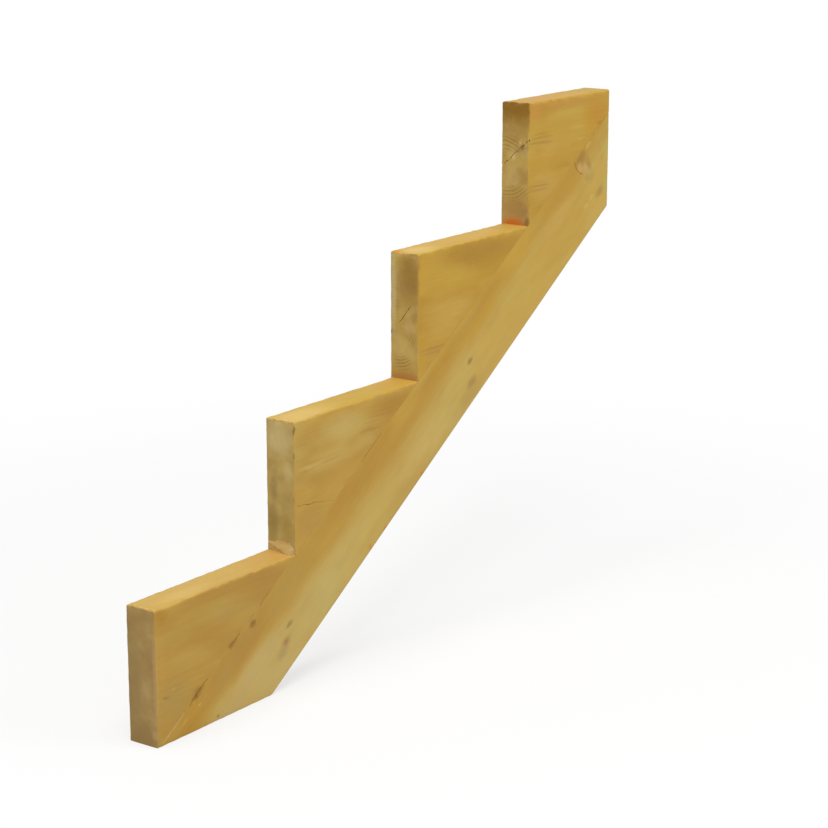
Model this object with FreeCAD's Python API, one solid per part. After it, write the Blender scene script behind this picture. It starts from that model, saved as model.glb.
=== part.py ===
"""A built-up outdoor stair stringer in pressure-treated softwood.

A straight planed board, the carriage, slopes from the landing up to the header.
Step blocks with level grain are glued in a row along its upper edge. The side of
each block that is sawn to the pitch lies on the carriage, its planed edge is the
tread seat and its sawn end is the riser face. The stringer has a level cut at the
landing and a plumb cut at the header.

Millimetres. X runs up the flight, Y across the thickness, Z up. The origin is on
the landing, at the middle of the level cut and of the thickness.
"""

import FreeCAD
import Part

import math
import os

Vector = FreeCAD.Vector

# The flight
STEP_COUNT = 4
RISE = 175.0
RUN = 270.0
TOP_TREAD_LENGTH = 220.0

# The planed boards
THICKNESS = 45.0
CARRIAGE_WIDTH = 120.0
EASED_EDGE_RADIUS = 3.0

PARTS_FOLDER = "parts"

# Worked out from the sizes above
PITCH = math.atan2(RISE, RUN)
FOOT_LENGTH = CARRIAGE_WIDTH / math.sin(PITCH)
FIRST_RISER_X = -FOOT_LENGTH / 2
FLIGHT_LENGTH = (STEP_COUNT - 1) * RUN + TOP_TREAD_LENGTH
HEADER_X = FIRST_RISER_X + FLIGHT_LENGTH
TOTAL_RISE = STEP_COUNT * RISE

# Spare stock past a saw cut
SPARE = THICKNESS


def riser_x(step):
    """Place of a step's riser face, counting steps from 1 at the landing."""
    return FIRST_RISER_X + (step - 1) * RUN


def tread_z(step):
    """Height of a step's tread seat above the landing."""
    return step * RISE


def glue_line_z(x):
    """Height of the carriage's upper edge, which runs through the inner corners of the steps."""
    return (x - FIRST_RISER_X) * RISE / RUN


def planed_board(length, width):
    """Stock along X, with its upper edge at Z 0, its start at X 0 and all four long edges eased."""
    board = Part.makeBox(length, THICKNESS, width, Vector(0, -THICKNESS / 2, -width))
    long_edges = [edge for edge in board.Edges if abs(edge.tangentAt(0).x) > 0.5]
    return board.makeFillet(EASED_EDGE_RADIUS, long_edges)


def site_space():
    """The space above the landing and in front of the header, wider and higher than the stringer."""
    corner = Vector(FIRST_RISER_X - SPARE, -THICKNESS, 0)
    return Part.makeBox(FLIGHT_LENGTH + SPARE, 2 * THICKNESS, TOTAL_RISE + SPARE, corner)


def space_under_glue_line():
    """What the saw takes off the step blocks: all that lies under the carriage's upper edge."""
    ends = (FIRST_RISER_X - SPARE, HEADER_X + SPARE)
    outline = [(x, glue_line_z(x)) for x in ends] + [(x, -RISE) for x in reversed(ends)]
    points = [Vector(x, -THICKNESS, z) for x, z in outline]
    side = Part.Face(Part.makePolygon(points + points[:1]))
    return side.extrude(Vector(0, 2 * THICKNESS, 0))


def make_carriage():
    """A board laid at the pitch, then sawn level at the landing and plumb at the header."""
    slope_length = FLIGHT_LENGTH / math.cos(PITCH)
    board = planed_board(slope_length + 2 * SPARE, CARRIAGE_WIDTH)
    board.translate(Vector(-SPARE, 0, 0))
    board.rotate(Vector(0, 0, 0), Vector(0, -1, 0), math.degrees(PITCH))
    board.translate(Vector(FIRST_RISER_X, 0, 0))
    return board.common(site_space())


def make_step_block(step):
    """Level stock with one end at the riser, sawn along the pitch and trimmed at the header.

    The pitch cut runs out in a sharp tail at the next riser. It takes away the lower long
    edges of the stock, so only the two edges of the tread stay eased.
    """
    board = planed_board(RUN + SPARE, RISE + EASED_EDGE_RADIUS)
    board.translate(Vector(riser_x(step), 0, tread_z(step)))
    return board.cut(space_under_glue_line()).common(site_space())


def main():
    os.makedirs(PARTS_FOLDER, exist_ok=True)
    parts = {"carriage": make_carriage()}
    for step in range(1, STEP_COUNT + 1):
        parts[f"step_block_{step}"] = make_step_block(step)
    for name, shape in parts.items():
        shape.exportStep(os.path.join(PARTS_FOLDER, name + ".step"))
        litres = shape.Volume / 1e6
        print(f"{name}: {len(shape.Solids)} solid, valid {shape.isValid()}, {litres:.4f} litres")


main()
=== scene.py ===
# %% [markdown]
# # A glued-up stair stringer in treated pine
# A stringer is the sloping timber that carries the treads of an outdoor stair. This one is built up from
# five planed boards: a long carriage at the pitch of the stair, and four step blocks glued in a row
# along its upper edge. The lesson dresses the measured model of it, so the sizes of the boards are read
# from that model and aren't typed in a second time.

import math

import bpy
from mathutils import Matrix, Vector


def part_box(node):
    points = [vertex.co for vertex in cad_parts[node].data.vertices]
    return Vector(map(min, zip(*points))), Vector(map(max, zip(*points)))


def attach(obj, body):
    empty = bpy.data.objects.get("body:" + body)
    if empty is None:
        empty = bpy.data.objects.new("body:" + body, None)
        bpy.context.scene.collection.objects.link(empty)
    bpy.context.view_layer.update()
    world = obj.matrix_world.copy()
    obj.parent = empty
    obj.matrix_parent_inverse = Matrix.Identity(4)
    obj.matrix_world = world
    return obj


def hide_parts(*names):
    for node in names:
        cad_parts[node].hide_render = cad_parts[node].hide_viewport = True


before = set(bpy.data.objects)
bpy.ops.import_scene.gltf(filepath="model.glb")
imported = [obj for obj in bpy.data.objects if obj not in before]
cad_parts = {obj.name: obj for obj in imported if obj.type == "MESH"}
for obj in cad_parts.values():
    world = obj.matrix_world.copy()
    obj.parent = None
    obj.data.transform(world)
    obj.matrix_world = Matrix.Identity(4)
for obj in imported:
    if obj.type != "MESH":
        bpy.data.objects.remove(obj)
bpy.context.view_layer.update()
scene = bpy.context.scene
scene.view_settings.view_transform = "Standard"
print("nodes:", sorted(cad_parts))

# %% [markdown]
# ## The sizes of the flight
# The first step block is as long as one run and as high as one rise, so its box gives both. The carriage
# ends at the header, and its level cut at the landing is centred on the origin, which gives its width at
# right angles to the pitch. Blender works in metres, and boards are talked about in millimetres, so one
# value turns one into the other.

# %% Read the sizes
MM = 0.001
STEPS = 4

low, high = (Vector(corner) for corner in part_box("step_block_1"))
RUN = high.x - low.x
RISE = high.z - low.z
THICKNESS = high.y - low.y
SIDE = THICKNESS / 2
FIRST_RISER_X = low.x
HEADER_X = Vector(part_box("carriage")[1]).x
PITCH = math.atan2(RISE, RUN)
CARRIAGE_WIDTH = -2 * FIRST_RISER_X * math.sin(PITCH)
TOE = Vector((FIRST_RISER_X, 0, 0))


def riser_x(step):
    """Place of a step's riser face, counting steps from 1 at the landing."""
    return FIRST_RISER_X + (step - 1) * RUN


print(f"run {RUN / MM:.0f} mm, rise {RISE / MM:.0f} mm")
print(f"boards {THICKNESS / MM:.0f} mm thick, carriage {CARRIAGE_WIDTH / MM:.0f} mm wide")

# %% [markdown]
# ## The camera
# The photograph looks up the flight from the left, a little from above, with a long lens, so the edges
# hardly converge. The place, turn and lens were solved from the corners of the treads and risers. A
# camera at rest looks down, so it is first tipped up to the horizon less its dip, and then turned to the
# right about the vertical.

# %% Set up the camera
CAMERA_PLACE = (-2.04399, -1.78249, 1.07807)
CAMERA_TURN = math.radians(54.471)
CAMERA_DIP = math.radians(14.293)
SENSOR_WIDTH = 36
LENS = 100.30


def add_alone(operator, **settings):
    """Adds something with nothing else selected, because operators act on all that is selected."""
    bpy.ops.object.select_all(action="DESELECT")
    operator(**settings)
    return bpy.context.object


camera = add_alone(
    bpy.ops.object.camera_add, location=CAMERA_PLACE,
    rotation=(math.radians(90) - CAMERA_DIP, 0, -CAMERA_TURN))
camera.data.sensor_width = SENSOR_WIDTH
camera.data.lens = LENS
scene.camera = camera
print(f"camera {camera.data.lens:.0f} mm, {math.degrees(CAMERA_DIP):.1f} degrees down")

# %% [markdown]
# ## Nodes and colours
# Every material below is a chain of nodes. One helper adds a node, fills its sockets and sets its
# options: a socket that is given another node, or one of its outputs, is linked, and any other value is
# typed in. Colours are written as the hex values that a paint program shows. Shaders work with linear
# light, so one function converts them.

# %% Helpers for nodes and colours
def add_node(tree, kind, sockets=None, stops=None, **settings):
    """Adds a shader node with its settings, its ramp stops, and its sockets linked or filled."""
    node = tree.nodes.new("ShaderNode" + kind)
    for name, value in settings.items():
        setattr(node, name, value)
    for place, shade in stops or []:
        ramp = node.color_ramp.elements
        ends = {0: ramp[0], 1: ramp[-1]}
        stop = ends[place] if place in ends else ramp.new(place)
        stop.color = shade
    for key, value in (sockets or {}).items():
        socket = node.inputs[key] if isinstance(key, int) else next(
            entry for entry in node.inputs if entry.enabled and entry.name == key)
        if isinstance(value, bpy.types.Node):
            value = next(entry for entry in value.outputs if entry.enabled)
        if isinstance(value, bpy.types.NodeSocket):
            tree.links.new(value, socket)
        else:
            socket.default_value = value
    return node


def colour(code):
    """Turns an sRGB hex colour into the linear colour that a shader needs."""
    linear = []
    for place in (1, 3, 5):
        part = int(code[place:place + 2], 16) / 255
        linear.append(part / 12.92 if part <= 0.04045 else ((part + 0.055) / 1.055) ** 2.4)
    return (*linear, 1)


print("pine in linear light:", [round(part, 3) for part in colour("#B99446")])

# %% [markdown]
# ## The studio
# The photograph is cut out on white. A white sheet lit until it burns out would also flood the timber
# with light, so the sheet and the world only look white: where the camera, a reflection or a clear
# material sees them, Light Path swaps in a plain white. Round the stringer the floor keeps a share of
# real shading there, so that it still has its shadow, and further out that share fades into the white of
# the world.

# %% Tell a look from a bounce of light
WHITE = (1, 1, 1, 1)
LOOKS = ("Is Camera Ray", "Is Glossy Ray", "Is Transmission Ray")


def seen_directly(tree):
    """One where the camera, a reflection or a clear material looks, and nought where light bounces."""
    path = add_node(tree, "LightPath")
    seen = path.outputs[LOOKS[0]]
    for name in LOOKS[1:]:
        seen = add_node(tree, "Math", {0: seen, 1: path.outputs[name]}, operation="MAXIMUM")
    return seen


print("white for:", ", ".join(LOOKS))

# %% Lay the paper floor
FLOOR_SIZE = 12
PAPER = "#E4E4E2"
SHADED_PAPER = "#909090"
PAPER_GLOW = 0.66

# The middle of the stringer, and how far from it the shading begins to fade and is gone, in metres
MIDDLE = Vector((0.4, 0, 0.35))
FADE_START = 0.6
FADE_END = 1.5

floor = add_alone(bpy.ops.mesh.primitive_plane_add, size=FLOOR_SIZE)
floor.name = "paper_floor"

# Matt paper scatters light evenly and has no shine
paper = bpy.data.materials.new("matt_white_paper")
paper.use_nodes = True
tree = paper.node_tree
tree.nodes.clear()
sheet = add_node(tree, "BsdfDiffuse", {"Color": colour(PAPER)})
shaded = add_node(tree, "BsdfDiffuse", {"Color": colour(SHADED_PAPER)})
glow = add_node(tree, "Emission", {"Color": WHITE, "Strength": PAPER_GLOW})
near_white = add_node(tree, "AddShader", {0: shaded, 1: glow})
far_white = add_node(tree, "Emission", {"Color": WHITE, "Strength": 1.0})
spot = add_node(tree, "TexCoord").outputs["Object"]
away = add_node(tree, "VectorMath", {0: spot, 1: (MIDDLE.x, MIDDLE.y, 0)}, operation="DISTANCE")
fade = add_node(tree, "MapRange", {
    "Value": away.outputs["Value"], "From Min": FADE_START, "From Max": FADE_END,
}, interpolation_type="SMOOTHSTEP")
white = add_node(tree, "MixShader", {0: fade, 1: near_white, 2: far_white})
mixed = add_node(tree, "MixShader", {0: seen_directly(tree), 1: sheet, 2: white})
add_node(tree, "OutputMaterial", {"Surface": mixed})
floor.data.materials.append(paper)
print("floor", FLOOR_SIZE, "m wide")

# %% Set the background
ROOM_LIGHT = 0.45

world = bpy.data.worlds.new("white_studio")
world.use_nodes = True
scene.world = world
tree = world.node_tree
tree.nodes.clear()
room = add_node(tree, "Background", {"Color": WHITE, "Strength": ROOM_LIGHT})
backdrop = add_node(tree, "Background", {"Color": WHITE, "Strength": 1.0})
mixed = add_node(tree, "MixShader", {0: seen_directly(tree), 1: room, 2: backdrop})
add_node(tree, "OutputWorld", {"Surface": mixed})
print("room light", ROOM_LIGHT)

# %% [markdown]
# ## The light
# The treads are the brightest faces, the sides come next and the risers are the dullest. A wide softbox
# high overhead gives the treads their light and fills the paper, which throws it back on the upright
# faces. A second one stands to the right of the camera: it passes the risers, which face away from it,
# and lifts the sides. A small fill at the left keeps the risers from going grey.

# %% Hang the softboxes
def softbox(name, place, size, watts):
    """Hangs a square area light that points at the middle of the stringer."""
    aim = (MIDDLE - Vector(place)).to_track_quat("-Z", "Y").to_euler()
    lamp = add_alone(bpy.ops.object.light_add, type="AREA", location=place, rotation=aim)
    lamp.name = name
    lamp.data.shape = "SQUARE"
    lamp.data.size = size
    lamp.data.energy = watts
    print(name, watts, "W")


softbox("overhead_softbox", place=(-1.4, -0.5, 6.0), size=4.5, watts=290)
softbox("side_softbox", place=(1.6, -3.2, 1.7), size=1.8, watts=34)
softbox("fill_softbox", place=(-3.2, -0.6, 1.6), size=1.6, watts=11)

# %% [markdown]
# ## Treated pine
# Pine is drawn as it grows. Growth rings are tubes round the pith, so a ring is worked out from the
# distance to a line along the grain, and the same sum then gives long bands on the sides, arcs on the
# sawn ends and nothing to stretch at the corners. The heartwood in the middle is orange brown. The
# sapwood round it takes up the preservative and turns a pale greenish yellow. Every board gets its own
# pith, colours, knots and marks.
#
# All of it happens in the board's own space, in millimetres: along the grain from its lower end, across
# the thickness from its middle, and up from its upper edge, so that a place below that edge has a minus
# sign.

# %% Describe the five boards
# pith: its place across and up, heart_radius: how far the heartwood reaches from it
# ring_gap: the width of a growth ring, end_figure: how strongly the rings show on sawn faces
# mottle: how strongly sawn faces are clouded, seed: a number that gives the board its own noise
# soaked and resin: the colours of its patches, sawn and tread: the colours of those faces, the tread's
# paler one being painted light and sheen from the lamp overhead
BOARDS = {
    "carriage": dict(
        start=TOE, slope=PITCH, pith=(34, -4), heart_radius=68, ring_gap=4.6, end_figure=0.3, mottle=0.5,
        seed=3.0, heart="#B4892B", sap="#BF9F50", soaked="#BDA95E", resin="#AF842E", sawn="#A98A4C",
        tread="#BF9F50"),
    "block_1": dict(
        pith=(58, -60), heart_radius=60, ring_gap=4.6, end_figure=0.03, mottle=0.3, seed=11.0,
        heart="#B18936", sap="#B48D3A", soaked="#B29648", resin="#A67B30", sawn="#9C7E4A", tread="#C2A052"),
    "block_2": dict(
        pith=(30, -84), heart_radius=50, ring_gap=4.0, end_figure=0.04, mottle=0.45, seed=23.0,
        heart="#B58D38", sap="#B9923C", soaked="#BEA658", resin="#A87E2E", sawn="#B09452", tread="#C1A042"),
    "block_3": dict(
        pith=(12, -104), heart_radius=48, ring_gap=4.2, end_figure=0.05, mottle=0.5, seed=37.0,
        heart="#B88E2E", sap="#BC9432", soaked="#BC9E3C", resin="#AA7F20", sawn="#B29248", tread="#C19C47"),
    "block_4": dict(
        pith=(14, -86), heart_radius=46, ring_gap=5.2, end_figure=0.05, mottle=0.5, seed=51.0,
        heart="#BA9030", sap="#BB9332", soaked="#BDA244", resin="#AC8026", sawn="#B5954C", tread="#BB9342"),
}
for step in range(1, STEPS + 1):
    BOARDS[f"block_{step}"].update(start=Vector((riser_x(step), 0, step * RISE)), slope=0)
print(len(BOARDS), "boards")

# %% [markdown]
# ### The growth of a board
# A Mapping node of the Texture kind undoes the board's place and slope, and its scale turns metres into
# millimetres. Slow noise, stretched along the grain, bends the rings a little. The distance from the
# pith divided by the ring gap counts the rings, and the fraction that is left runs from the pale spring
# wood to the dark summer wood, which ends sharply where the next spring begins.

# %% Measure along the grain
NOISE_DETAIL = 2.0
NOISE_ROUGHNESS = 0.55


def noise_along(tree, space, size, seed, detail=NOISE_DETAIL):
    """Noise that is stretched along the grain, with a lump's length and width in millimetres."""
    length, width = size
    squeezed = add_node(tree, "VectorMath", {
        0: space, 1: (1 / length, 1 / width, 1 / width)}, operation="MULTIPLY")
    return add_node(tree, "TexNoise", {
        "Vector": squeezed, "W": seed, "Scale": 1.0, "Detail": detail, "Roughness": NOISE_ROUGHNESS,
    }, noise_dimensions="4D")


def board_space(tree, board):
    """Millimetres along the grain, across the thickness and up from the upper edge."""
    place = add_node(tree, "TexCoord").outputs["Object"]
    return add_node(tree, "Mapping", {
        "Vector": place, "Location": board["start"], "Rotation": (0, -board["slope"], 0),
        "Scale": (MM, MM, MM)}, vector_type="TEXTURE")


starts = [round(board["start"].x / MM) for board in BOARDS.values()]
print("boards start at", starts, "mm up the flight")

# %% Grow the rings
DRIFT_SIZE = (380, 60)
DRIFT = (0, 26, 26)
HALF = (0.5, 0.5, 0.5)

# How dark the wood is at a share of the way through a year's growth
SEASONS = [(0, 0.4), (0.1, 0.4), (0.6, 0.1), (0.88, 1), (1, 1)]


def grow(tree, space, board):
    """Gives the distance from the pith and the share of dark summer wood."""
    drift = noise_along(tree, space, DRIFT_SIZE, board["seed"]).outputs["Color"]
    drift = add_node(tree, "VectorMath", {0: drift, 1: HALF}, operation="SUBTRACT")
    bent = add_node(tree, "VectorMath", {0: drift, 1: DRIFT, 2: space}, operation="MULTIPLY_ADD")
    spoke = add_node(tree, "VectorMath", {0: bent, 1: (0, *board["pith"])}, operation="SUBTRACT")
    spoke = add_node(tree, "VectorMath", {0: spoke, 1: (0, 1, 1)}, operation="MULTIPLY")
    radius = add_node(tree, "VectorMath", {0: spoke}, operation="LENGTH").outputs["Value"]
    count = add_node(tree, "Math", {0: radius, 1: board["ring_gap"]}, operation="DIVIDE")
    season = add_node(tree, "Math", {0: count}, operation="FRACT")
    summer = add_node(tree, "ValToRGB", {"Fac": season}, stops=[
        (place, (shade, shade, shade, 1)) for place, shade in SEASONS])
    return radius, summer


print("rings", sorted(board["ring_gap"] for board in BOARDS.values()), "mm apart")

# %% [markdown]
# ### Knots, stains, streaks and painted light
# A knot is a branch that the trunk grew round. It could be modelled, but planing leaves it flush, so it
# is a matter of colour, and the same goes for resin streaks and for stains from the preservative. Some
# marks are painted light: painted shadows beside small knots, painted shade in the glue gaps and in a
# corner, painted highlights along the tread fronts and on the rim of a check, and painted warm light
# bounced up onto the feet of two risers. Each mark is a soft egg shape in the board's own space, with
# ragged edges. A knot goes through the board, so its egg is long across the thickness, and a stain stays
# near its own face. A later mark lies over an earlier one.
#
# A mark is written as its place along, across and up, its half length, half thickness and half height,
# its colour, and how much of that colour it takes. The near side is the one in the photograph.

# %% Mark the carriage
FAR = round(SIDE / MM, 1)
NEAR = -FAR
MARKS = {}
MARKS["carriage"] = [
    # broad stains
    (1000, NEAR, -80, 380, 10, 70, "#C29C3A", 0.5),
    (850, NEAR, -4, 270, 10, 12, "#BC9432", 0.5),
    (925, NEAR, -12, 64, 10, 26, "#C19A38", 0.7),
    (605, NEAR, -12, 60, 10, 22, "#BF983E", 0.7),
    (815, NEAR, -32, 110, 10, 13, "#BC922E", 0.65),
    (470, NEAR, -14, 110, 10, 28, "#AE7F24", 0.65),
    (1030, NEAR, -44, 70, 10, 20, "#C4A052", 0.5),
    (610, NEAR, -86, 80, 10, 28, "#C8AA5E", 0.6),
    (725, NEAR, -104, 50, 10, 18, "#B2924A", 0.6),
    (190, NEAR, -64, 80, 10, 28, "#BFAA70", 0.5),
    (275, NEAR, -20, 90, 10, 32, "#AE9046", 0.6),
    (165, NEAR, -18, 100, 10, 30, "#A98038", 0.65),
    (118, NEAR, -74, 60, 8, 30, "#BCA064", 0.5),
    # the large knot, cut through by the joint
    (1128, 0, -10, 22, 60, 16, "#94702C", 0.75),
    (1142, 0, -30, 9, 60, 18, "#A07C3A", 0.7),
    (1120, 0, -20, 9, 60, 12, "#C49E5E", 0.8),
    (1130, 0, -31, 11, 60, 13, "#C49C60", 0.85),
    (1128, 0, -44, 10, 60, 9, "#A48C46", 0.6),
    (1138, 0, -52, 12, 60, 11, "#A88E46", 0.5),
    # pale flecks below it
    (1122, NEAR, -78, 9, 8, 5, "#CDAA62", 0.5),
    (1104, NEAR, -79, 8, 8, 4, "#CDAA62", 0.5),
    # small knots and the painted shadows beside them
    (752, NEAR, -64, 9, 12, 5, "#8E6E3A", 0.75),
    (739, NEAR, -93, 16, 10, 9, "#977038", 0.5),
    (243, 0, -83, 16, 50, 10, "#A06E3A", 0.85),
    (243, 0, -83, 8, 50, 5, "#8A4E28", 0.9),
    (261, NEAR, -68, 9, 12, 5, "#7E5E32", 0.8),
    (229, NEAR, -90, 17, 10, 9, "#93784A", 0.75),
    (1145, NEAR, -86, 16, 10, 8, "#97722F", 0.5),
    # dirt and painted shade in the gaps of the glue line
    (86, NEAR, -1.5, 18, 6, 5.5, "#8E6829", 0.7),
    (170, NEAR, -1, 14, 6, 5, "#916B2E", 0.6),
    (211, NEAR, -10, 8, 6, 7, "#916B2E", 0.7),
    # glue and specks at the toe
    (51, NEAR, -12, 12, 8, 2.5, "#BE9A52", 0.6),
    (32, NEAR, -1.6, 28, 8, 2.6, "#C6A45E", 0.9),
    (83, NEAR, -16, 3, 5, 2.5, "#CDA45A", 0.8),
    (97, NEAR, -56, 3, 5, 2.5, "#7B5C2E", 0.6),
    # the end at the header
    (1155, NEAR, -6, 14, 10, 4, "#C9A858", 0.5),
    (1216, NEAR, -15, 16, 10, 22, "#B5A24A", 0.5),
    (1194, NEAR, -48, 16, 10, 24, "#B5A650", 0.6),
    (1166, NEAR, -92, 18, 10, 26, "#B5A650", 0.6),
    # soaked sapwood
    (330, NEAR, -85, 130, 10, 42, "#BFAA66", 0.5),
    (200, NEAR, -110, 90, 10, 34, "#C0A868", 0.6),
    (455, NEAR, -96, 110, 10, 30, "#C2A858", 0.5),
    # resin on the lower edge
    (579, NEAR, -116, 5, 5, 5, "#C47C34", 0.8),
    (477, NEAR, -117, 6, 5, 5, "#BE8038", 0.7),
    (440, NEAR, -114, 6, 5, 5, "#BE8038", 0.7),
]
print("carriage:", len(MARKS["carriage"]), "marks")

# %% Mark the first two blocks
MARKS["block_1"] = [
    # dirt and painted shade at the gaps along the glue line
    (75, NEAR, -125, 12, 6, 8, "#8C672C", 0.5),
    (140, NEAR, -84, 8, 6, 6, "#916B2E", 0.5),
    # the short check and a speck above it
    (17, NEAR, -115, 8, 8, 2.5, "#94703A", 0.5),
    (30, NEAR, -108, 4, 6, 2.5, "#CDAA62", 0.6),
    # stains on the near side
    (30, NEAR, -120, 40, 4, 34, "#A78A48", 0.5),
    (8, NEAR, -60, 10, 4, 60, "#BC9040", 0.5),
    (66, NEAR, -77, 54, 4, 16, "#B8984A", 0.5),
    (19, NEAR, -24, 30, 4, 14, "#AE8434", 0.5),
    (139, NEAR, -40, 36, 4, 16, "#B08A42", 0.5),
    (130, NEAR, -8, 120, 4, 14, "#A87C30", 0.5),
    (215, NEAR, -24, 80, 4, 30, "#AA7E32", 0.75),
    # the tread, with a painted highlight near its front on the near side
    (70, -8, 0, 60, 14, 4, "#CDAC62", 0.5),
    (240, 0, 0, 60, 60, 4, "#BE9040", 0.5),
    # its front corner
    (12, NEAR, -10, 14, 4, 14, "#A87B22", 0.6),
    # glue at the next riser
    (264, 0, 0, 16, 30, 4, "#C4954A", 0.8),
    # the riser
    (0, 14, -100, 6, 16, 100, "#8A7448", 0.5),
    (0, 4, -165, 6, 40, 30, "#84693F", 0.5),
    (0, -19, -160, 5, 7, 9, "#C0A06A", 0.4),
    (0, -21, -90, 5, 4, 80, "#BA9A66", 0.4),
    # torn wood along the front, paler partly as a painted highlight on its edge
    (0, 0, 0, 4, 60, 3, "#D2AE68", 0.7),
]
MARKS["block_2"] = [
    # the tread, with a painted highlight near its front on the near side
    (30, -6, 0, 70, 30, 4, "#D2B26A", 0.6),
    (165, 0, 0, 80, 60, 4, "#B49030", 0.55),
    (240, 0, 0, 50, 60, 4, "#BC8E38", 0.5),
    # stains and streaks on the near side
    (36, NEAR, -66, 30, 4, 4, "#CDAE68", 0.5),
    (125, NEAR, -8, 100, 4, 14, "#BF9840", 0.5),
    (36, NEAR, -24, 30, 4, 16, "#B18838", 0.5),
    (100, NEAR, -28, 50, 4, 24, "#BFA45C", 0.6),
    (161, NEAR, -44, 26, 4, 4, "#95692A", 0.3),
    (212, NEAR, -20, 66, 4, 24, "#A87A22", 0.7),
    (76, NEAR, -64, 64, 4, 18, "#C2A254", 0.6),
    (150, NEAR, -56, 34, 4, 14, "#BC9E52", 0.6),
    (30, NEAR, -140, 40, 4, 26, "#A98040", 0.4),
    # the riser
    (0, 4, -24, 6, 30, 30, "#C6B07A", 0.6),
    (0, -12, -68, 5, 8, 16, "#C4AC72", 0.4),
    (0, -8, -106, 5, 11, 16, "#9A7E40", 0.5),
    (0, 12, -90, 5, 7, 24, "#8B7646", 0.5),
    (0, 14, -138, 6, 12, 34, "#86723A", 0.6),
    (0, -10, -140, 6, 12, 30, "#9A7E38", 0.5),
    (0, 0, -172, 6, 30, 14, "#B99862", 0.7),
    # dark wood on its near edge
    (0, NEAR, -12, 2.5, 2.5, 12, "#6C5228", 0.7),
    (0, NEAR, -46, 2.5, 2.5, 6, "#6C5228", 0.5),
    # torn wood along the front, paler partly as a painted highlight on its edge
    (0, 0, 0, 4, 60, 3, "#D6B068", 0.7),
]
print("blocks:", len(MARKS["block_1"]), "and", len(MARKS["block_2"]), "marks")

# %% Mark the last two blocks
MARKS["block_3"] = [
    # the tread, with a painted highlight near its front on the near side
    (24, -6, 0, 44, 26, 4, "#D2B46A", 0.6),
    (180, 10, 0, 90, 14, 4, "#BE963C", 0.4),
    (252, 0, 0, 40, 60, 4, "#B48E42", 0.5),
    # stains and streaks on the near side
    (14, NEAR, -25, 16, 4, 22, "#C3942F", 0.6),
    (162, NEAR, -19, 124, 4, 22, "#A27524", 0.6),
    (196, NEAR, -46, 60, 4, 24, "#AE811C", 0.5),
    (92, NEAR, -96, 18, 4, 3, "#CDAA5C", 0.3),
    (76, NEAR, -86, 80, 4, 22, "#C49F4A", 0.65),
    (60, NEAR, -110, 54, 4, 22, "#C09A46", 0.6),
    (40, NEAR, -140, 40, 4, 14, "#B18A44", 0.4),
    # resin on the tread's far corner
    (2, 15, 0, 7, 8, 4, "#D0762A", 0.8),
    # the riser
    (0, 18, -55, 6, 6, 70, "#BFB07E", 0.7),
    (0, -9, -36, 6, 26, 46, "#8E6A2C", 0.75),
    (0, 4, -50, 4, 12, 16, "#9C7A44", 0.5),
    (0, -9, -104, 5, 14, 14, "#C0A266", 0.5),
    (0, FAR, -111, 4, 3, 5, "#5E4824", 0.8),
    (0, 2, -138, 5, 34, 28, "#C2A760", 0.6),
    # a reddish foot: painted warm light bounced up from the tread below
    (0, 0, -174, 6, 40, 10, "#B06C3C", 0.55),
    # torn wood along the front, paler partly as a painted highlight on its edge
    (0, 0, 0, 4, 60, 3, "#D6B068", 0.7),
]
MARKS["block_4"] = [
    # the tread
    (40, 0, 0, 50, 60, 4, "#BE914A", 0.5),
    (190, 6, 0, 40, 40, 4, "#AE9440", 0.6),
    # stains and streaks on the near side
    (16, NEAR, -16, 22, 4, 20, "#C48C38", 0.6),
    (110, NEAR, -8, 110, 4, 14, "#B78434", 0.6),
    (188, NEAR, -28, 50, 4, 40, "#B6821C", 0.6),
    (128, NEAR, -46, 30, 4, 4, "#CFAB5C", 0.25),
    (139, NEAR, -64, 14, 4, 3, "#CFAB5C", 0.25),
    (198, NEAR, -46, 16, 4, 3, "#8C6226", 0.4),
    (52, NEAR, -66, 46, 4, 18, "#C29C4A", 0.5),
    (43, NEAR, -122, 46, 4, 26, "#BF9948", 0.6),
    # the riser
    (0, 0, -4, 5, 90, 38, "#825A12", 0.9),
    (0, 6, -44, 5, 28, 18, "#9E7C3C", 0.5),
    (0, -12, -63, 5, 6, 5, "#6F4F24", 0.6),
    (0, 6, -108, 5, 20, 20, "#BA9D60", 0.5),
    (0, 0, -152, 6, 60, 20, "#94693A", 0.45),
    (0, 3, -174, 6, 32, 22, "#B48A50", 0.6),
    # resin at its foot, with painted warm light bounced up from the tread below
    (0, 2, -178, 6, 25, 15, "#C86E22", 1.15),
    # pale flecks beside the check: painted highlights on its rim
    (0, 3, -77, 4, 4, 6, "#CBB27A", 0.7),
    (0, -9, -58, 4, 4, 6, "#CBB27A", 0.6),
    # painted shade in the near corner at the riser's foot
    (0, NEAR, -170, 6, 7, 9, "#7C5A22", 0.8),
]
print("blocks:", len(MARKS["block_3"]), "and", len(MARKS["block_4"]), "marks")

# %% [markdown]
# ### Where the rings show
# Seen from the side, the preservative hides most of the rings, and they come through in a few places
# only. Those are eggs as well, written in the same way but without a colour. The far side can't be seen
# in the photograph, and there the rings show a little all over, as on plain pine.

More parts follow.
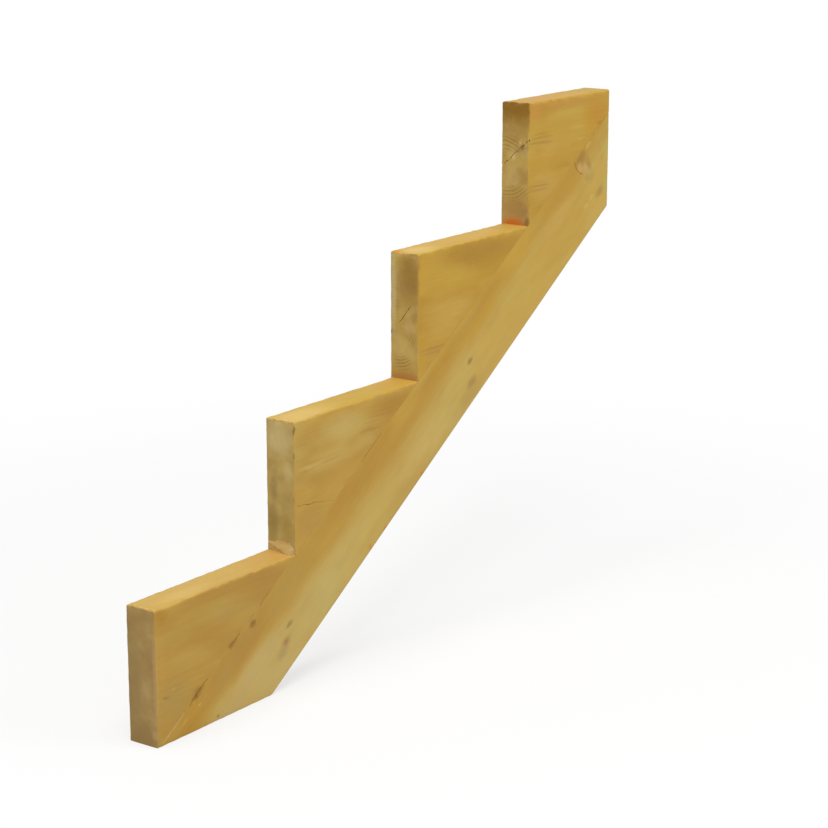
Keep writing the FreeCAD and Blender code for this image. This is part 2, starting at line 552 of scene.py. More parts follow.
# %% Let the rings come through
CLEAR_RINGS = {
    "carriage": [(600, NEAR, -70, 260, 10, 20, 0.08), (700, FAR, -60, 900, 10, 130, 0.3)],
    "block_1": [(60, NEAR, -100, 80, 10, 30, 0.12)],
    "block_2": [(60, NEAR, -66, 70, 10, 12, 0.2), (180, NEAR, -30, 60, 10, 12, 0.15)],
    "block_3": [
        (0, 3, -152, 10, 18, 14, 0.8), (0, -14, -118, 10, 8, 14, 0.5), (60, NEAR, -138, 80, 12, 10, 0.35)],
    "block_4": [
        (0, 8, -58, 12, 26, 16, 0.6), (0, 0, -128, 12, 34, 12, 0.7), (30, NEAR, -58, 42, 14, 18, 0.45),
        (30, NEAR, -122, 36, 14, 10, 0.45), (110, NEAR, -90, 60, 12, 16, 0.3)],
}
for step in range(1, STEPS + 1):
    CLEAR_RINGS[f"block_{step}"].append((90, FAR, -60, 260, 10, 150, 0.3))
print("rings show in", sum(len(places) for places in CLEAR_RINGS.values()), "places")

# %% [markdown]
# ### Laying the marks on
# An egg starts as the distance from its middle, divided by its half sizes, so that it is one on its
# skin. A smooth step turns that into a cover that is full in the core and gone just past the skin. Fine
# noise pushes the marks about by a few millimetres first, which gives them their ragged edges.

# %% Lay the marks on
EGG_CORE = 0.25
EGG_SKIN = 1.15
RAGGED_SIZE = (14, 9)
RAGGED_REACH = (9, 5, 6)

# Each pattern adds its own number to a board's seed, so that no two of them look alike
SEED_OF = dict(soaked=3, resin=5, ragged=7, pale=9, brown=13, flecks=17)


def egg_cover(tree, space, place, half_sizes, share):
    """A soft egg shape in a board's space: its share in the middle and nought outside."""
    away = add_node(tree, "VectorMath", {0: space, 1: place}, operation="SUBTRACT")
    away = add_node(tree, "VectorMath", {0: away, 1: half_sizes}, operation="DIVIDE")
    reach = add_node(tree, "VectorMath", {0: away}, operation="LENGTH").outputs["Value"]
    return add_node(tree, "MapRange", {
        "Value": reach, "From Min": EGG_SKIN, "From Max": EGG_CORE, "To Max": share,
    }, interpolation_type="SMOOTHSTEP")


def add_marks(tree, space, paint, marks, seed):
    """Lays a board's marks over its colour, one after the other."""
    ragged = noise_along(tree, space, RAGGED_SIZE, seed + SEED_OF["ragged"]).outputs["Color"]
    ragged = add_node(tree, "VectorMath", {0: ragged, 1: HALF}, operation="SUBTRACT")
    ragged = add_node(tree, "VectorMath", {0: ragged, 1: RAGGED_REACH, 2: space}, operation="MULTIPLY_ADD")
    for *shape, code, share in marks:
        cover = egg_cover(tree, ragged, shape[:3], shape[3:], share)
        paint = add_node(tree, "Mix", {"Factor": cover, "A": paint, "B": colour(code)}, data_type="RGBA")
    return paint


print(sum(len(marks) for marks in MARKS.values()), "marks")

# %% [markdown]
# ### The planed sides
# The boundary between heartwood and sapwood is soft, and the preservative soaks in unevenly. So the two
# colours are blended by the distance from the pith, and then clouded with greenish patches that drank
# more and with brown ones where resin kept it out.

# %% Colour the planed sides
HEART_BLEND = 15
SOAKED_SIZE = (170, 60)
SOAKED_SHARE = 0.7
RESIN_SIZE = (130, 46)
RESIN_SHARE = 0.6

# Noise below the first level leaves the colour as it is, and above the second one it changes it fully
CLOUD_START = 0.42
CLOUD_FULL = 0.72


def blotches(tree, space, paint, size, seed, code, share):
    """Clouds a colour with another, in soft patches of a length and width in millimetres."""
    cloud = noise_along(tree, space, size, seed).outputs[0]
    cover = add_node(tree, "MapRange", {
        "Value": cloud, "From Min": CLOUD_START, "From Max": CLOUD_FULL, "To Max": share,
    }, interpolation_type="SMOOTHSTEP")
    return add_node(tree, "Mix", {"Factor": cover, "A": paint, "B": colour(code)}, data_type="RGBA")


def planed_sides(tree, space, board, radius):
    """The heartwood and sapwood of a board, with their patches."""
    edge = board["heart_radius"]
    outside = add_node(tree, "MapRange", {
        "Value": radius, "From Min": edge - HEART_BLEND, "From Max": edge + HEART_BLEND,
    }, interpolation_type="SMOOTHSTEP")
    paint = add_node(tree, "Mix", {
        "Factor": outside, "A": colour(board["heart"]), "B": colour(board["sap"])}, data_type="RGBA")
    for patch, size, share in (("soaked", SOAKED_SIZE, SOAKED_SHARE), ("resin", RESIN_SIZE, RESIN_SHARE)):
        paint = blotches(tree, space, paint, size, board["seed"] + SEED_OF[patch], board[patch], share)
    return paint


print(f"heartwood blends into sapwood over {2 * HEART_BLEND} mm")

# %% [markdown]
# ### Treads and sawn faces
# A face that is cut across the grain drinks more preservative and scatters more light, so it is duller.
# Such a face is known by its normal, which lies along the grain: a riser, and also the slanting cuts of
# the carriage. A tread is known the same way, by a normal that points up, and gets a paler colour than
# the sides: painted light and sheen from the lamp overhead.

# %% Colour the treads and the sawn faces
TREAD_START = 0.4
TREAD_FULL = 0.7
TREAD_SHARE = 0.75
SAWN_START = 0.35
SAWN_FULL = 0.8
SAWN_PALE = "#C0AA6C"
SAWN_PALE_SIZE = (60, 30)
SAWN_BROWN = "#8F6E3C"
SAWN_BROWN_SIZE = (60, 24)


def facing(tree, direction):
    """One where a face looks in a direction, nought where it lies along it, and minus one on the back."""
    normal = add_node(tree, "NewGeometry").outputs["Normal"]
    return add_node(tree, "VectorMath", {0: normal, 1: direction}, operation="DOT_PRODUCT").outputs["Value"]


def sawn_share(tree, board):
    """One where a face is cut across the grain, and nought where it runs along it."""
    grain = (math.cos(board["slope"]), 0, math.sin(board["slope"]))
    across = add_node(tree, "Math", {0: facing(tree, grain)}, operation="ABSOLUTE")
    return add_node(tree, "MapRange", {
        "Value": across, "From Min": SAWN_START, "From Max": SAWN_FULL}, interpolation_type="SMOOTHSTEP")


def treads_and_ends(tree, space, board, paint, sawn):
    """Lays the colours of the treads and of the sawn faces over those of the sides."""
    # Faces that point up take the paler tread colour: painted light and sheen from the lamp overhead
    upward = add_node(tree, "MapRange", {
        "Value": facing(tree, (0, 0, 1)), "From Min": TREAD_START, "From Max": TREAD_FULL,
        "To Max": TREAD_SHARE}, interpolation_type="SMOOTHSTEP")
    paint = add_node(tree, "Mix", {
        "Factor": upward, "A": paint, "B": colour(board["tread"])}, data_type="RGBA")
    ends = colour(board["sawn"])
    for patch, size, code in (("pale", SAWN_PALE_SIZE, SAWN_PALE), ("brown", SAWN_BROWN_SIZE, SAWN_BROWN)):
        ends = blotches(tree, space, ends, size, board["seed"] + SEED_OF[patch], code, board["mottle"])
    return add_node(tree, "Mix", {"Factor": sawn, "A": paint, "B": ends}, data_type="RGBA")


print("treads take", TREAD_SHARE, "of their own colour")

# %% [markdown]
# ### Rings, fibres and flecks
# Summer wood is denser than spring wood, so it darkens the colour under it, and a Mix node that
# multiplies does the same. Fibres and short flecks make the colour a little lighter and darker. Real
# fibres are far too fine for the picture, so they are drawn 1.5 mm wide.

# %% Draw the rings, fibres and flecks
SUMMER_WOOD = "#B8A88E"
PLANED_FIGURE = 0.05
FIBRE_SIZE = (70, 1.5)
FIBRE_DETAIL = 3.0
FLECK_SIZE = (32, 9)
TONE_LOW = 0.94
TONE_HIGH = 1.06


def ring_share(tree, space, board, places, summer, sawn):
    """How strongly the rings show: weakly on planed faces, more on sawn ones, and clearly in places."""
    figure = add_node(tree, "MapRange", {
        "Value": sawn, "To Min": PLANED_FIGURE, "To Max": board["end_figure"]})
    for *shape, share in places:
        clear = egg_cover(tree, space, shape[:3], shape[3:], share)
        figure = add_node(tree, "Math", {0: figure, 1: clear}, operation="MAXIMUM")
    return add_node(tree, "Math", {0: summer, 1: figure}, operation="MULTIPLY")


def draw_grain(tree, space, board, paint, rings, fibre):
    """Darkens a colour along the rings, and varies it along the fibres and flecks."""
    paint = add_node(tree, "Mix", {
        "Factor": rings, "A": paint, "B": colour(SUMMER_WOOD)}, data_type="RGBA", blend_type="MULTIPLY")
    flecks = noise_along(tree, space, FLECK_SIZE, board["seed"] + SEED_OF["flecks"]).outputs[0]
    tone = add_node(tree, "Math", {0: fibre, 1: flecks}, operation="ADD")
    tone = add_node(tree, "MapRange", {
        "Value": tone, "From Min": 0.5, "From Max": 1.5, "To Min": TONE_LOW, "To Max": TONE_HIGH,
    }, clamp=False)
    return add_node(tree, "Mix", {
        "Factor": 1.0, "A": paint, "B": tone}, data_type="RGBA", blend_type="MULTIPLY")


print("fibres", FIBRE_SIZE, "mm, flecks", FLECK_SIZE, "mm")

# %% [markdown]
# ### Putting the pine together
# Bare wood has a weak, broad shine, and a sawn face is rougher still. The fibres and rings stand up a
# little, and the teeth of the saw leave faint lines on the sawn faces. These are too low to model, so a
# Bump node raises them.

# %% Make the pine
PLANED_ROUGH = 0.6
SAWN_ROUGH = 0.85
SAW_LINE = 2.6
FIBRE_LIFT = 0.25
SAW_LIFT = 0.12

# A wave texture of scale 1 repeats after this many units, which are millimetres here
WAVE_REPEAT = 0.314


def saw_lines(tree, space, sawn):
    """Wavering lines on the sawn faces."""
    teeth = add_node(tree, "TexWave", {
        "Vector": space, "Scale": WAVE_REPEAT / SAW_LINE, "Distortion": 3.0, "Detail": 2.0,
        "Detail Scale": 0.4}, bands_direction="Y")
    return add_node(tree, "Math", {0: teeth.outputs["Fac"], 1: sawn}, operation="MULTIPLY")


def treated_pine(name, board):
    """Makes one board's material."""
    material = bpy.data.materials.new(f"treated_pine_{name}")
    material.use_nodes = True
    tree = material.node_tree
    tree.nodes.clear()
    space = board_space(tree, board)
    radius, summer = grow(tree, space, board)
    fibre = noise_along(tree, space, FIBRE_SIZE, board["seed"], FIBRE_DETAIL).outputs[0]
    sawn = sawn_share(tree, board)

    paint = planed_sides(tree, space, board, radius)
    paint = treads_and_ends(tree, space, board, paint, sawn)
    paint = add_marks(tree, space, paint, MARKS[name], board["seed"])
    rings = ring_share(tree, space, board, CLEAR_RINGS[name], summer, sawn)
    paint = draw_grain(tree, space, board, paint, rings, fibre)

    rough = add_node(tree, "MapRange", {"Value": sawn, "To Min": PLANED_ROUGH, "To Max": SAWN_ROUGH})
    height = add_node(tree, "Math", {0: fibre, 1: FIBRE_LIFT, 2: rings}, operation="MULTIPLY_ADD")
    height = add_node(tree, "Math", {
        0: saw_lines(tree, space, sawn), 1: SAW_LIFT, 2: height}, operation="MULTIPLY_ADD")
    bump = add_node(tree, "Bump", {"Strength": 0.25, "Distance": MM, "Height": height})
    surface = add_node(tree, "BsdfPrincipled", {
        "Base Color": paint, "Roughness": rough, "Normal": bump, "IOR": 1.5, "Specular IOR Level": 0.25})
    add_node(tree, "OutputMaterial", {"Surface": surface})
    return material


pine = {name: treated_pine(name, board) for name, board in BOARDS.items()}
print("materials:", [material.name for material in pine.values()])

# %% [markdown]
# ## Planed stock
# A board leaves the planing mill square, with its four long edges eased so that they don't splinter. It
# could be drawn as a cross-section and extruded. Here it starts as a cube that is stretched to the
# board's size, and the edges that run along it are picked by their direction and rounded with a bevel of
# a few segments.

# %% Plane the stock
EASED = 3 * MM
EASED_SEGMENTS = 5


def take(piece):
    """Makes a piece the only one that is selected, and the active one."""
    bpy.ops.object.select_all(action="DESELECT")
    piece.select_set(True)
    bpy.context.view_layer.objects.active = piece


def pick_edges(piece, wanted):
    """Opens a piece in edit mode with the edges selected whose two ends pass a test."""
    take(piece)
    bpy.ops.object.mode_set(mode="EDIT")
    bpy.ops.mesh.select_mode(type="EDGE")
    bpy.ops.mesh.select_all(action="DESELECT")
    bpy.ops.object.mode_set(mode="OBJECT")
    corners = piece.data.vertices
    for edge in piece.data.edges:
        edge.select = wanted(*(corners[index].co for index in edge.vertices))
    bpy.ops.object.mode_set(mode="EDIT")


def apply_place(piece):
    """Moves a piece's place, turn and size into its mesh, so that its object sits at the origin."""
    take(piece)
    bpy.ops.object.transform_apply(location=True, rotation=True, scale=True)


def rename(piece, name):
    """Gives a piece and its mesh the same name."""
    piece.name = name
    piece.data.name = name


def planed_stock(name, length, width):
    """A board along X from the origin, with its upper edge at Z 0 and its long edges eased."""
    board = add_alone(
        bpy.ops.mesh.primitive_cube_add,
        size=1, location=(length / 2, 0, -width / 2), scale=(length, THICKNESS, width))
    rename(board, name)
    apply_place(board)
    pick_edges(board, lambda one, two: abs(one.x - two.x) > length / 2)
    bpy.ops.mesh.bevel(offset=EASED, segments=EASED_SEGMENTS, affect="EDGES")
    bpy.ops.object.mode_set(mode="OBJECT")
    return board


print(f"edges eased to {EASED / MM:.0f} mm")

# %% [markdown]
# ## Saw cuts
# A bisect is a saw cut: it divides the mesh along a plane, clears what lies past it, and fills the cut.
# The carriage is laid at the pitch and cut level at the landing and plumb at the header. Each block is
# cut along the pitch, so that it sits on the carriage, and the last one is cut plumb as well.

# %% Saw the five boards
SPARE = 45 * MM
SAW_TRUE = 0.001 * MM
LANDING = (0, 0, 0)
HEADER = (HEADER_X, 0, 0)
DOWN = (0, 0, -1)
ONWARD = Vector((1, 0, 0))
UPHILL = Vector((math.cos(PITCH), 0, math.sin(PITCH)))
OFF_CARRIAGE = Vector((-math.sin(PITCH), 0, math.cos(PITCH)))


def saw(piece, place, off_side):
    """Cuts a piece along a plane, takes off what lies on the given side and closes the cut."""
    take(piece)
    bpy.ops.object.mode_set(mode="EDIT")
    bpy.ops.mesh.select_all(action="SELECT")
    bpy.ops.mesh.bisect(
        plane_co=place, plane_no=off_side, use_fill=True, clear_outer=True, threshold=SAW_TRUE)
    bpy.ops.object.mode_set(mode="OBJECT")


slope_length = (HEADER_X - FIRST_RISER_X) / math.cos(PITCH)
carriage = planed_stock("carriage_board", slope_length + 2 * SPARE, CARRIAGE_WIDTH)
carriage.rotation_euler = (0, -PITCH, 0)
carriage.location = TOE - UPHILL * SPARE
apply_place(carriage)
saw(carriage, LANDING, DOWN)
saw(carriage, HEADER, ONWARD)

blocks = []
for step in range(1, STEPS + 1):
    block = planed_stock(f"step_piece_{step}", RUN + SPARE, RISE + EASED)
    block.location = (riser_x(step), 0, step * RISE)
    apply_place(block)
    saw(block, TOE, -OFF_CARRIAGE)
    saw(block, HEADER, ONWARD)
    blocks.append(block)
print("sawn:", carriage.name, [block.name for block in blocks])

# %% [markdown]
# ## Broken and ragged edges
# A saw leaves a sharp edge that soon breaks, and it tears fibres out along the front of each tread. The
# edges round the cuts get a small bevel. Then each board is scored into a fine grid, because only
# corners of a mesh can move, and a Displace modifier with lumpy noise eats into the corners near those
# edges.

# %% Break the edges and score a grid
BROKEN = 0.6 * MM
BROKEN_SEGMENTS = 2
CLOSE = 0.01 * MM


def at(value, target):
    """True where a measure is on a plane."""
    return abs(value - target) < CLOSE


def break_edges(piece, wanted):
    """Takes the sharpness off the picked edges."""
    pick_edges(piece, wanted)
    bpy.ops.mesh.bevel(offset=BROKEN, segments=BROKEN_SEGMENTS, affect="EDGES", clamp_overlap=True)
    bpy.ops.object.mode_set(mode="OBJECT")


def score(piece, direction, spacing):
    """Divides a piece along evenly spaced planes."""
    reach = [corner.co.dot(direction) for corner in piece.data.vertices]
    first, last = min(reach), max(reach)
    count = round((last - first) / spacing)
    take(piece)
    bpy.ops.object.mode_set(mode="EDIT")
    for number in range(1, count):
        place = direction * (first + (last - first) * number / count)
        bpy.ops.mesh.select_all(action="SELECT")
        bpy.ops.mesh.bisect(plane_co=place, plane_no=direction)
    bpy.ops.object.mode_set(mode="OBJECT")


print(f"edges broken by {BROKEN / MM:.1f} mm")

# %% Eat into the edges
# Noise below the first level is eaten to the full depth, and above the second the wood stays whole
EATEN = 0.4
WHOLE = 0.62


def wear(piece, share, depth, lump, direction="NORMAL"):
    """Eats into a piece with lumpy noise, where the share for a corner is more than nought."""
    group = piece.vertex_groups.new(name="worn")
    for corner in piece.data.vertices:
        group.add([corner.index], max(0, share(corner.co)), "REPLACE")
    clouds = bpy.data.textures.new("torn_fibres", type="CLOUDS")
    clouds.noise_scale = lump
    clouds.use_color_ramp = True
    for stop, level, shade in zip(clouds.color_ramp.elements, (EATEN, WHOLE), ((0, 0, 0, 1), WHITE)):
        stop.position = level
        stop.color = shade
    eaten = piece.modifiers.new("eaten", "DISPLACE")
    eaten.texture = clouds
    eaten.texture_coords = "LOCAL"
    eaten.vertex_group = group.name
    eaten.direction = direction
    eaten.mid_level = 1
    eaten.strength = depth
    take(piece)
    bpy.ops.object.modifier_apply(modifier=eaten.name)
    piece.vertex_groups.clear()


def edge_share(one, two, width):
    """One on an edge, and nought at a width from it, from the distances to its two faces."""
    return 1 - math.hypot(one, two) / width


print("wear fades from noise", EATEN, "to", WHOLE)

# %% Wear the carriage
ACROSS = Vector((0, 1, 0))
UPWARD = Vector((0, 0, 1))
GRID = 4 * MM
GRID_ALONG = 1.5 * GRID
GRID_ACROSS = 3 * MM
CUT_BAND = 4 * MM


def on_carriage_cut(one, two):
    """True for the edges round the level cut and the plumb cut."""
    return (at(one.z, 0) and at(two.z, 0)) or (at(one.x, HEADER_X) and at(two.x, HEADER_X))


def level_cut_edge(spot):
    return edge_share(spot.z, SIDE - abs(spot.y), CUT_BAND)


def plumb_cut_edge(spot):
    return edge_share(HEADER_X - spot.x, SIDE - abs(spot.y), CUT_BAND)


break_edges(carriage, on_carriage_cut)
score(carriage, UPHILL, GRID_ALONG)
score(carriage, OFF_CARRIAGE, GRID)
score(carriage, ACROSS, GRID_ACROSS)
wear(carriage, level_cut_edge, depth=0.4 * MM, lump=9 * MM)
wear(carriage, plumb_cut_edge, depth=0.3 * MM, lump=9 * MM)
print("carriage:", len(carriage.data.polygons), "faces")

# %% Wear the step blocks
FRONT_BAND = 6 * MM
FRONT_FAR_FADE = 9 * MM
TREAD_BAND = 7 * MM
FRONT_REST = 10 * MM
BACK_REST = 12 * MM
FAR_SHARE = 0.3


def wear_block(block, front, top):
    """Breaks, scores and wears a step block, from the place of its riser and the height of its tread."""
    def on_cut(one, two):
        on_riser = at(one.x, front) and at(two.x, front) and max(one.z, two.z) > top - RISE + CLOSE
        return on_riser or (at(one.x, HEADER_X) and at(two.x, HEADER_X))

    def torn_front(spot):
        fade = min(1, (SIDE - spot.y) / FRONT_FAR_FADE)
        return edge_share(spot.x - front, top - spot.z, FRONT_BAND) * fade

    def worn_upright(spot):
        return edge_share(spot.x - front, SIDE - abs(spot.y), CUT_BAND)

    def worn_tread(spot):
        if not front + FRONT_REST < spot.x < min(front + RUN, HEADER_X) - BACK_REST:
            return 0
        share = 1 if spot.y < 0 else FAR_SHARE
        return edge_share(top - spot.z, SIDE - abs(spot.y), TREAD_BAND) * share

    break_edges(block, on_cut)
    score(block, ONWARD, GRID)
    score(block, UPWARD, GRID)
    score(block, ACROSS, GRID_ACROSS)
    wear(block, torn_front, depth=3.0 * MM, lump=9 * MM)
    wear(block, worn_upright, depth=0.3 * MM, lump=14 * MM)
    wear(block, worn_tread, depth=2.1 * MM, lump=12 * MM)


for step, block in enumerate(blocks, start=1):
    wear_block(block, riser_x(step), step * RISE)
print("blocks:", [len(block.data.polygons) for block in blocks], "faces")

# %% [markdown]
# ## Drying checks
# Wood shrinks most round its rings, so it splits along a line from the pith as it dries, and such a
# split is called a check.

# %% Shape a wedge
CHECK_CUTS = 15
CHECK_ROOT = 0.1
CHECK_ENDS = 0.15
CHECK_END_START = 0.45


def pinch(piece, wanted, share):
    """Narrows the picked edges of a wedge to a share of their height."""
    pick_edges(piece, wanted)
    bpy.ops.transform.resize(value=(1, 1, share), center_override=(0, 0, 0))
    bpy.ops.object.mode_set(mode="OBJECT")


def check_wedge(length, width, depth):
    """A wedge along X at the origin, with its root towards Y."""
    wedge = add_alone(bpy.ops.mesh.primitive_cube_add, size=1, scale=(length, 2 * depth, width))
    apply_place(wedge)
    pick_edges(wedge, lambda one, two: abs(one.x - two.x) > length / 2)
    bpy.ops.mesh.subdivide(number_cuts=CHECK_CUTS)
    bpy.ops.object.mode_set(mode="OBJECT")
    pinch(wedge, lambda one, two: min(one.y, two.y) > 0, CHECK_ROOT)
    end_start = CHECK_END_START * length
    for side in (-1, 1):
        pinch(wedge, lambda one, two: min(side * one.x, side * two.x) > end_start, CHECK_ENDS)
    return wedge


print("wedges divided into", CHECK_CUTS + 1, "lengths")

# %% Carve with a cutter
def carve(piece, cutter):
    """Takes a cutter's shape out of a piece."""
    cut = piece.modifiers.new("cut", "BOOLEAN")
    cut.operation = "DIFFERENCE"
    cut.solver = "MANIFOLD"
    cut.object = cutter
    take(piece)
    bpy.ops.object.modifier_apply(modifier=cut.name)


def scrap(cutter):
    """Throws a cutter away once it has done its work."""
    bpy.data.objects.remove(cutter, do_unlink=True)


def spot_on(name, along, across, up):
    """The place of a spot in a board's own space."""
    slope = BOARDS[name]["slope"]
    ahead = along * math.cos(slope) - up * math.sin(slope)
    raised = along * math.sin(slope) + up * math.cos(slope)
    return BOARDS[name]["start"] + Vector((ahead, across, raised)) * MM


print("the carriage's toe is at", [round(part / MM) for part in spot_on("carriage", 0, 0, 0)], "mm")

# %% Open the checks
CHECK_LUMP = 7 * MM
CHECK_WANDER = 5 * MM

# block, start and end in its own space, the way into the wood, width and depth
CHECKS = [
    ("block_4", (0, 24, -93), (0, -24, -51), ONWARD, 1.2, 7),
    ("block_3", (0, 8, -97), (0, -11, -73), ONWARD, 1.5, 5),
    ("block_2", (5, NEAR, -112), (42, NEAR, -116), ACROSS, 1.2, 1.8),
    ("block_2", (36, NEAR, -115), (80, NEAR, -121), ACROSS, 0.7, 1.2),
    ("block_1", (10, NEAR, -114), (25, NEAR, -117), ACROSS, 0.7, 0.9),
]


def open_check(piece, start, end, inward, width, depth):
    """Splits a piece along a line on one of its faces."""
    line = end - start
    wedge = check_wedge(line.length, width, depth)
    along = line.normalized()
    wedge.matrix_world = Matrix((along, inward, along.cross(inward))).transposed().to_4x4()
    wedge.location = (start + end) / 2
    bpy.context.view_layer.update()
    clouds = bpy.data.textures.new("wander", type="CLOUDS")
    clouds.noise_scale = CHECK_LUMP
    wander = wedge.modifiers.new("wander", "DISPLACE")
    wander.texture = clouds
    wander.texture_coords = "GLOBAL"
    wander.direction = "Z"
    wander.mid_level = 0.5
    wander.strength = CHECK_WANDER
    take(wedge)
    bpy.ops.object.modifier_apply(modifier=wander.name)
    carve(piece, wedge)
    scrap(wedge)


for name, start, end, inward, width, depth in CHECKS:
    block = blocks[int(name[-1]) - 1]
    open_check(block, spot_on(name, *start), spot_on(name, *end), inward, width * MM, depth * MM)
print(len(CHECKS), "checks")

# %% [markdown]
# ## Gaps in the glue line
# The eased edge of the carriage and the sharp edge of a block meet in a small V-groove. Here and there
# the glue has not filled it, and along the first block splinters have come off both boards. Each gap is
# an egg, stretched along the joint and roughened, that is taken out of the block and the carriage alike.

# %% Open the gaps
FIRST_SEED = 21

# along and up on the carriage, length, height and depth
GAPS = [
    (93, 0, 36, 3.6, 1.7),
    (80, -2, 13, 8.0, 1.9),
    (175, 0, 26, 2.4, 1.3),
    (167, 0, 11, 5.0, 1.4),
    (211, -10, 12, 8.0, 1.3),
    (248, 0, 30, 1.0, 2),
    (517, 0, 56, 1.0, 2),
    (1200, 0, 20, 0.9, 2),
]


def roughen(piece, roughness, seed):
    """Shifts the corners of a cutter about, so that it leaves torn wood."""
    take(piece)
    bpy.ops.object.mode_set(mode="EDIT")
    bpy.ops.mesh.select_all(action="SELECT")
    bpy.ops.transform.vertex_random(offset=roughness, seed=seed)
    bpy.ops.object.mode_set(mode="OBJECT")


def egg(place, half_length, half_depth, half_height):
    """An egg along the carriage."""
    shape = add_alone(
        bpy.ops.mesh.primitive_uv_sphere_add, segments=20, ring_count=14, radius=1, location=place,
        rotation=(0, math.radians(90) - PITCH, 0), scale=(half_height, half_depth, half_length))
    apply_place(shape)
    return shape


for seed, (along, up, length, height, depth) in enumerate(GAPS, start=FIRST_SEED):
    gap = egg(spot_on("carriage", along, NEAR, up), length / 2 * MM, depth * MM, height / 2 * MM)
    roughen(gap, roughness=0.3 * MM, seed=seed)
    step = 1 + int((gap.data.vertices[0].co.x - FIRST_RISER_X) / RUN)
    carve(blocks[step - 1], gap)
    carve(carriage, gap)
    scrap(gap)
print(len(GAPS), "gaps")

# %% [markdown]
# ## The loose rim of the knot
# Near the header the carriage has a large knot, cut through by the joint. On its uphill side it is still
# tied to the board, and a dark crack curves round its downhill end. A torus, squashed to the knot's
# outline and sawn down to that end, cuts it.

# %% Cut round the knot
KNOT = spot_on("carriage", 1128, NEAR, -10)
KNOT_LENGTH = 34 * MM
KNOT_HEIGHT = 48 * MM
RIM_END = 0.27
RIM_TOP = 0.14

rim = add_alone(
    bpy.ops.mesh.primitive_torus_add, major_segments=48, minor_segments=8, major_radius=0.5,
    minor_radius=0.02, location=KNOT, rotation=(math.radians(90), -PITCH, 0))
rim.scale = (KNOT_LENGTH, KNOT_HEIGHT, KNOT_HEIGHT)
apply_place(rim)
saw(rim, KNOT - UPHILL * KNOT_LENGTH * RIM_END, UPHILL)
saw(rim, KNOT + OFF_CARRIAGE * KNOT_HEIGHT * RIM_TOP, OFF_CARRIAGE)
roughen(rim, roughness=0.25 * MM, seed=31)
carve(carriage, rim)
scrap(rim)
print("knot rim cut")

# %% [markdown]
# ## Glue
# Cured glue shows in three ways: as a thin amber fillet that nearly fills the groove along the joint, as
# a pale thread at the toe, and as a pale smear that was squeezed out under the second riser. It is a
# resin that shines a little more than bare wood, and it sets in lumps that are lighter where they are
# thin.

# %% Mix the glues
GLUE_LUMP = 7 * MM


def cured_glue(name, thin, thick, rough):
    """A cured wood glue: a slightly glossy resin, darker where it is thick."""
    material = bpy.data.materials.new(name)
    material.use_nodes = True
    tree = material.node_tree
    tree.nodes.clear()
    place = add_node(tree, "TexCoord").outputs["Object"]
    lumps = add_node(tree, "TexNoise", {"Vector": place, "Scale": 1 / GLUE_LUMP, "Detail": 3.0})
    paint = add_node(tree, "Mix", {
        "Factor": lumps.outputs[0], "A": colour(thin), "B": colour(thick)}, data_type="RGBA")
    bump = add_node(tree, "Bump", {"Strength": 0.15, "Distance": MM, "Height": lumps.outputs[0]})
    surface = add_node(tree, "BsdfPrincipled", {
        "Base Color": paint, "Roughness": rough, "Normal": bump, "IOR": 1.48, "Specular IOR Level": 0.3})
    add_node(tree, "OutputMaterial", {"Surface": surface})
    return material


amber = cured_glue("cured_amber_glue", thin="#BC933E", thick="#AE8434", rough=0.55)
pale = cured_glue("cured_pale_glue", thin="#BC9C5C", thick="#AE8C4E", rough=0.65)
print("glues:", amber.name, pale.name)

# %% [markdown]
# ### Fillets along the joint
# A fillet could be a bevelled curve along the joint. It is a slim strip here, sunk a hair under the
# surface, divided along its length and worn by noise, because glue that was wiped off is uneven. On the
# near side it stops at the gaps.

# %% Lay the fillets along the joint
FILLET_LOW = 2.2 * MM
FILLET_IN = 3.0 * MM
FILLET_SUNK = 0.08 * MM
THREAD_SUNK = 0.02 * MM
END = slope_length / MM - 2
NEAR_FILLETS = [(60, 74), (112, 162), (186, 206), (218, 234), (262, 490), (545, 1188), (1211, END)]


def fillet(name, first, last, side, sunk, material):
    """A strip of glue in the groove, from one place along the joint to another."""
    outer = SIDE - sunk
    middle = spot_on("carriage", (first + last) / 2, 0, 0) - OFF_CARRIAGE * FILLET_LOW / 2
    middle.y = side * (outer - FILLET_IN / 2)
    strip = add_alone(
        bpy.ops.mesh.primitive_cube_add, size=1, location=middle, rotation=(0, -PITCH, 0),
        scale=((last - first) * MM, FILLET_IN, FILLET_LOW))
    rename(strip, name)
    apply_place(strip)
    score(strip, UPHILL, spacing=5 * MM)
    score(strip, OFF_CARRIAGE, spacing=0.8 * MM)
    wear(strip, lambda spot: 1 if side * spot.y > outer - CLOSE else 0, depth=0.4 * MM, lump=9 * MM)
    strip.data.materials.append(material)
    return strip


glue = []
for number, (first, last) in enumerate(NEAR_FILLETS, start=1):
    glue.append(fillet(f"near_glue_fillet_{number}", first, last, -1, FILLET_SUNK, amber))
glue.append(fillet("far_glue_fillet", 6, END, 1, FILLET_SUNK, amber))
glue.append(fillet("toe_glue_thread", 8, 58, -1, THREAD_SUNK, pale))
print(len(glue), "fillets")

# %% [markdown]
# ### The smear under the riser
# The smear is a wedge in the inner corner between tread and riser, sawn from a cube so that it runs out
# thin on the tread, on the riser and towards the far side. It is scored finely and worn until its upper
# edge is ragged.

# %% Smear pale glue under a riser
SMEAR_ROOT = 1 * MM
NEAR_CORNER = 0.3
FAR_REACH = 0.2
STEEPNESS = 4


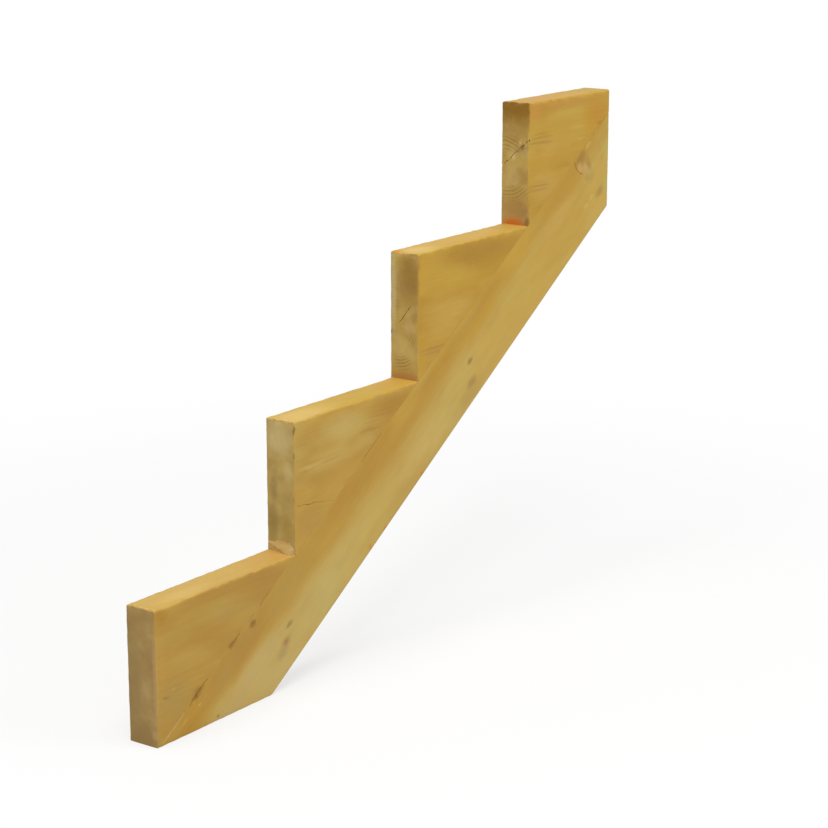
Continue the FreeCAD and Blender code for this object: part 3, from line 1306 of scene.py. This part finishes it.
def smear(name, step, out, up, material):
    """Glue in the inner corner under a riser, from its reach out on the tread and up on the riser."""
    corner = Vector((riser_x(step), 0, (step - 1) * RISE))
    shape = add_alone(
        bpy.ops.mesh.primitive_cube_add,
        size=1, location=corner + Vector((SMEAR_ROOT - out, 0, up - SMEAR_ROOT)) / 2,
        scale=(out + SMEAR_ROOT, THICKNESS - EASED, up + SMEAR_ROOT))
    rename(shape, name)
    apply_place(shape)
    saw(shape, corner - Vector((out, 0, 0)), Vector((-up, 0, out)))
    saw(shape, corner + Vector((0, -SIDE, NEAR_CORNER * up)), Vector((0, -up, NEAR_CORNER * THICKNESS)))
    saw(shape, corner + Vector((-FAR_REACH * out, SIDE, 0)), Vector((-THICKNESS, out, 0)))
    score(shape, ACROSS, spacing=1.5 * MM)
    score(shape, UPWARD, spacing=1.2 * MM)

    def ragged_top(spot):
        return ((spot.z - corner.z) / up) ** 2

    def uneven_skin(spot):
        return min(1, STEEPNESS * (corner.x - spot.x) / out, STEEPNESS * (spot.z - corner.z) / up)

    wear(shape, ragged_top, depth=0.25 * up, lump=12 * MM, direction="Z")
    wear(shape, uneven_skin, depth=0.12 * out, lump=8 * MM)
    shape.data.materials.append(material)
    return shape


glue.append(smear("pale_glue_smear", step=2, out=8 * MM, up=15 * MM, material=pale))
for piece in glue:
    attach(piece, "root")
print([piece.name for piece in glue])

# %% [markdown]
# ## Dressing the model
# The boards take the place of the measured solids, and all of it rides on the one body that the stringer
# is. The cutters had no material, and a cut leaves an empty slot behind, so the slots are cleared before
# a board gets its pine. Faces that meet at a small angle are shaded as one round surface.

# %% Dress the boards
SMOOTH_ANGLE = math.radians(35)

for piece in [carriage] + blocks + glue:
    take(piece)
    bpy.ops.object.shade_smooth_by_angle(angle=SMOOTH_ANGLE)
carriage.data.materials.clear()
carriage.data.materials.append(pine["carriage"])
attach(carriage, "root")
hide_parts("carriage")
for step, block in enumerate(blocks, start=1):
    block.data.materials.clear()
    block.data.materials.append(pine[f"block_{step}"])
    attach(block, "root")
    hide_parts(f"step_block_{step}")
print("dressed:", carriage.name, [block.name for block in blocks])
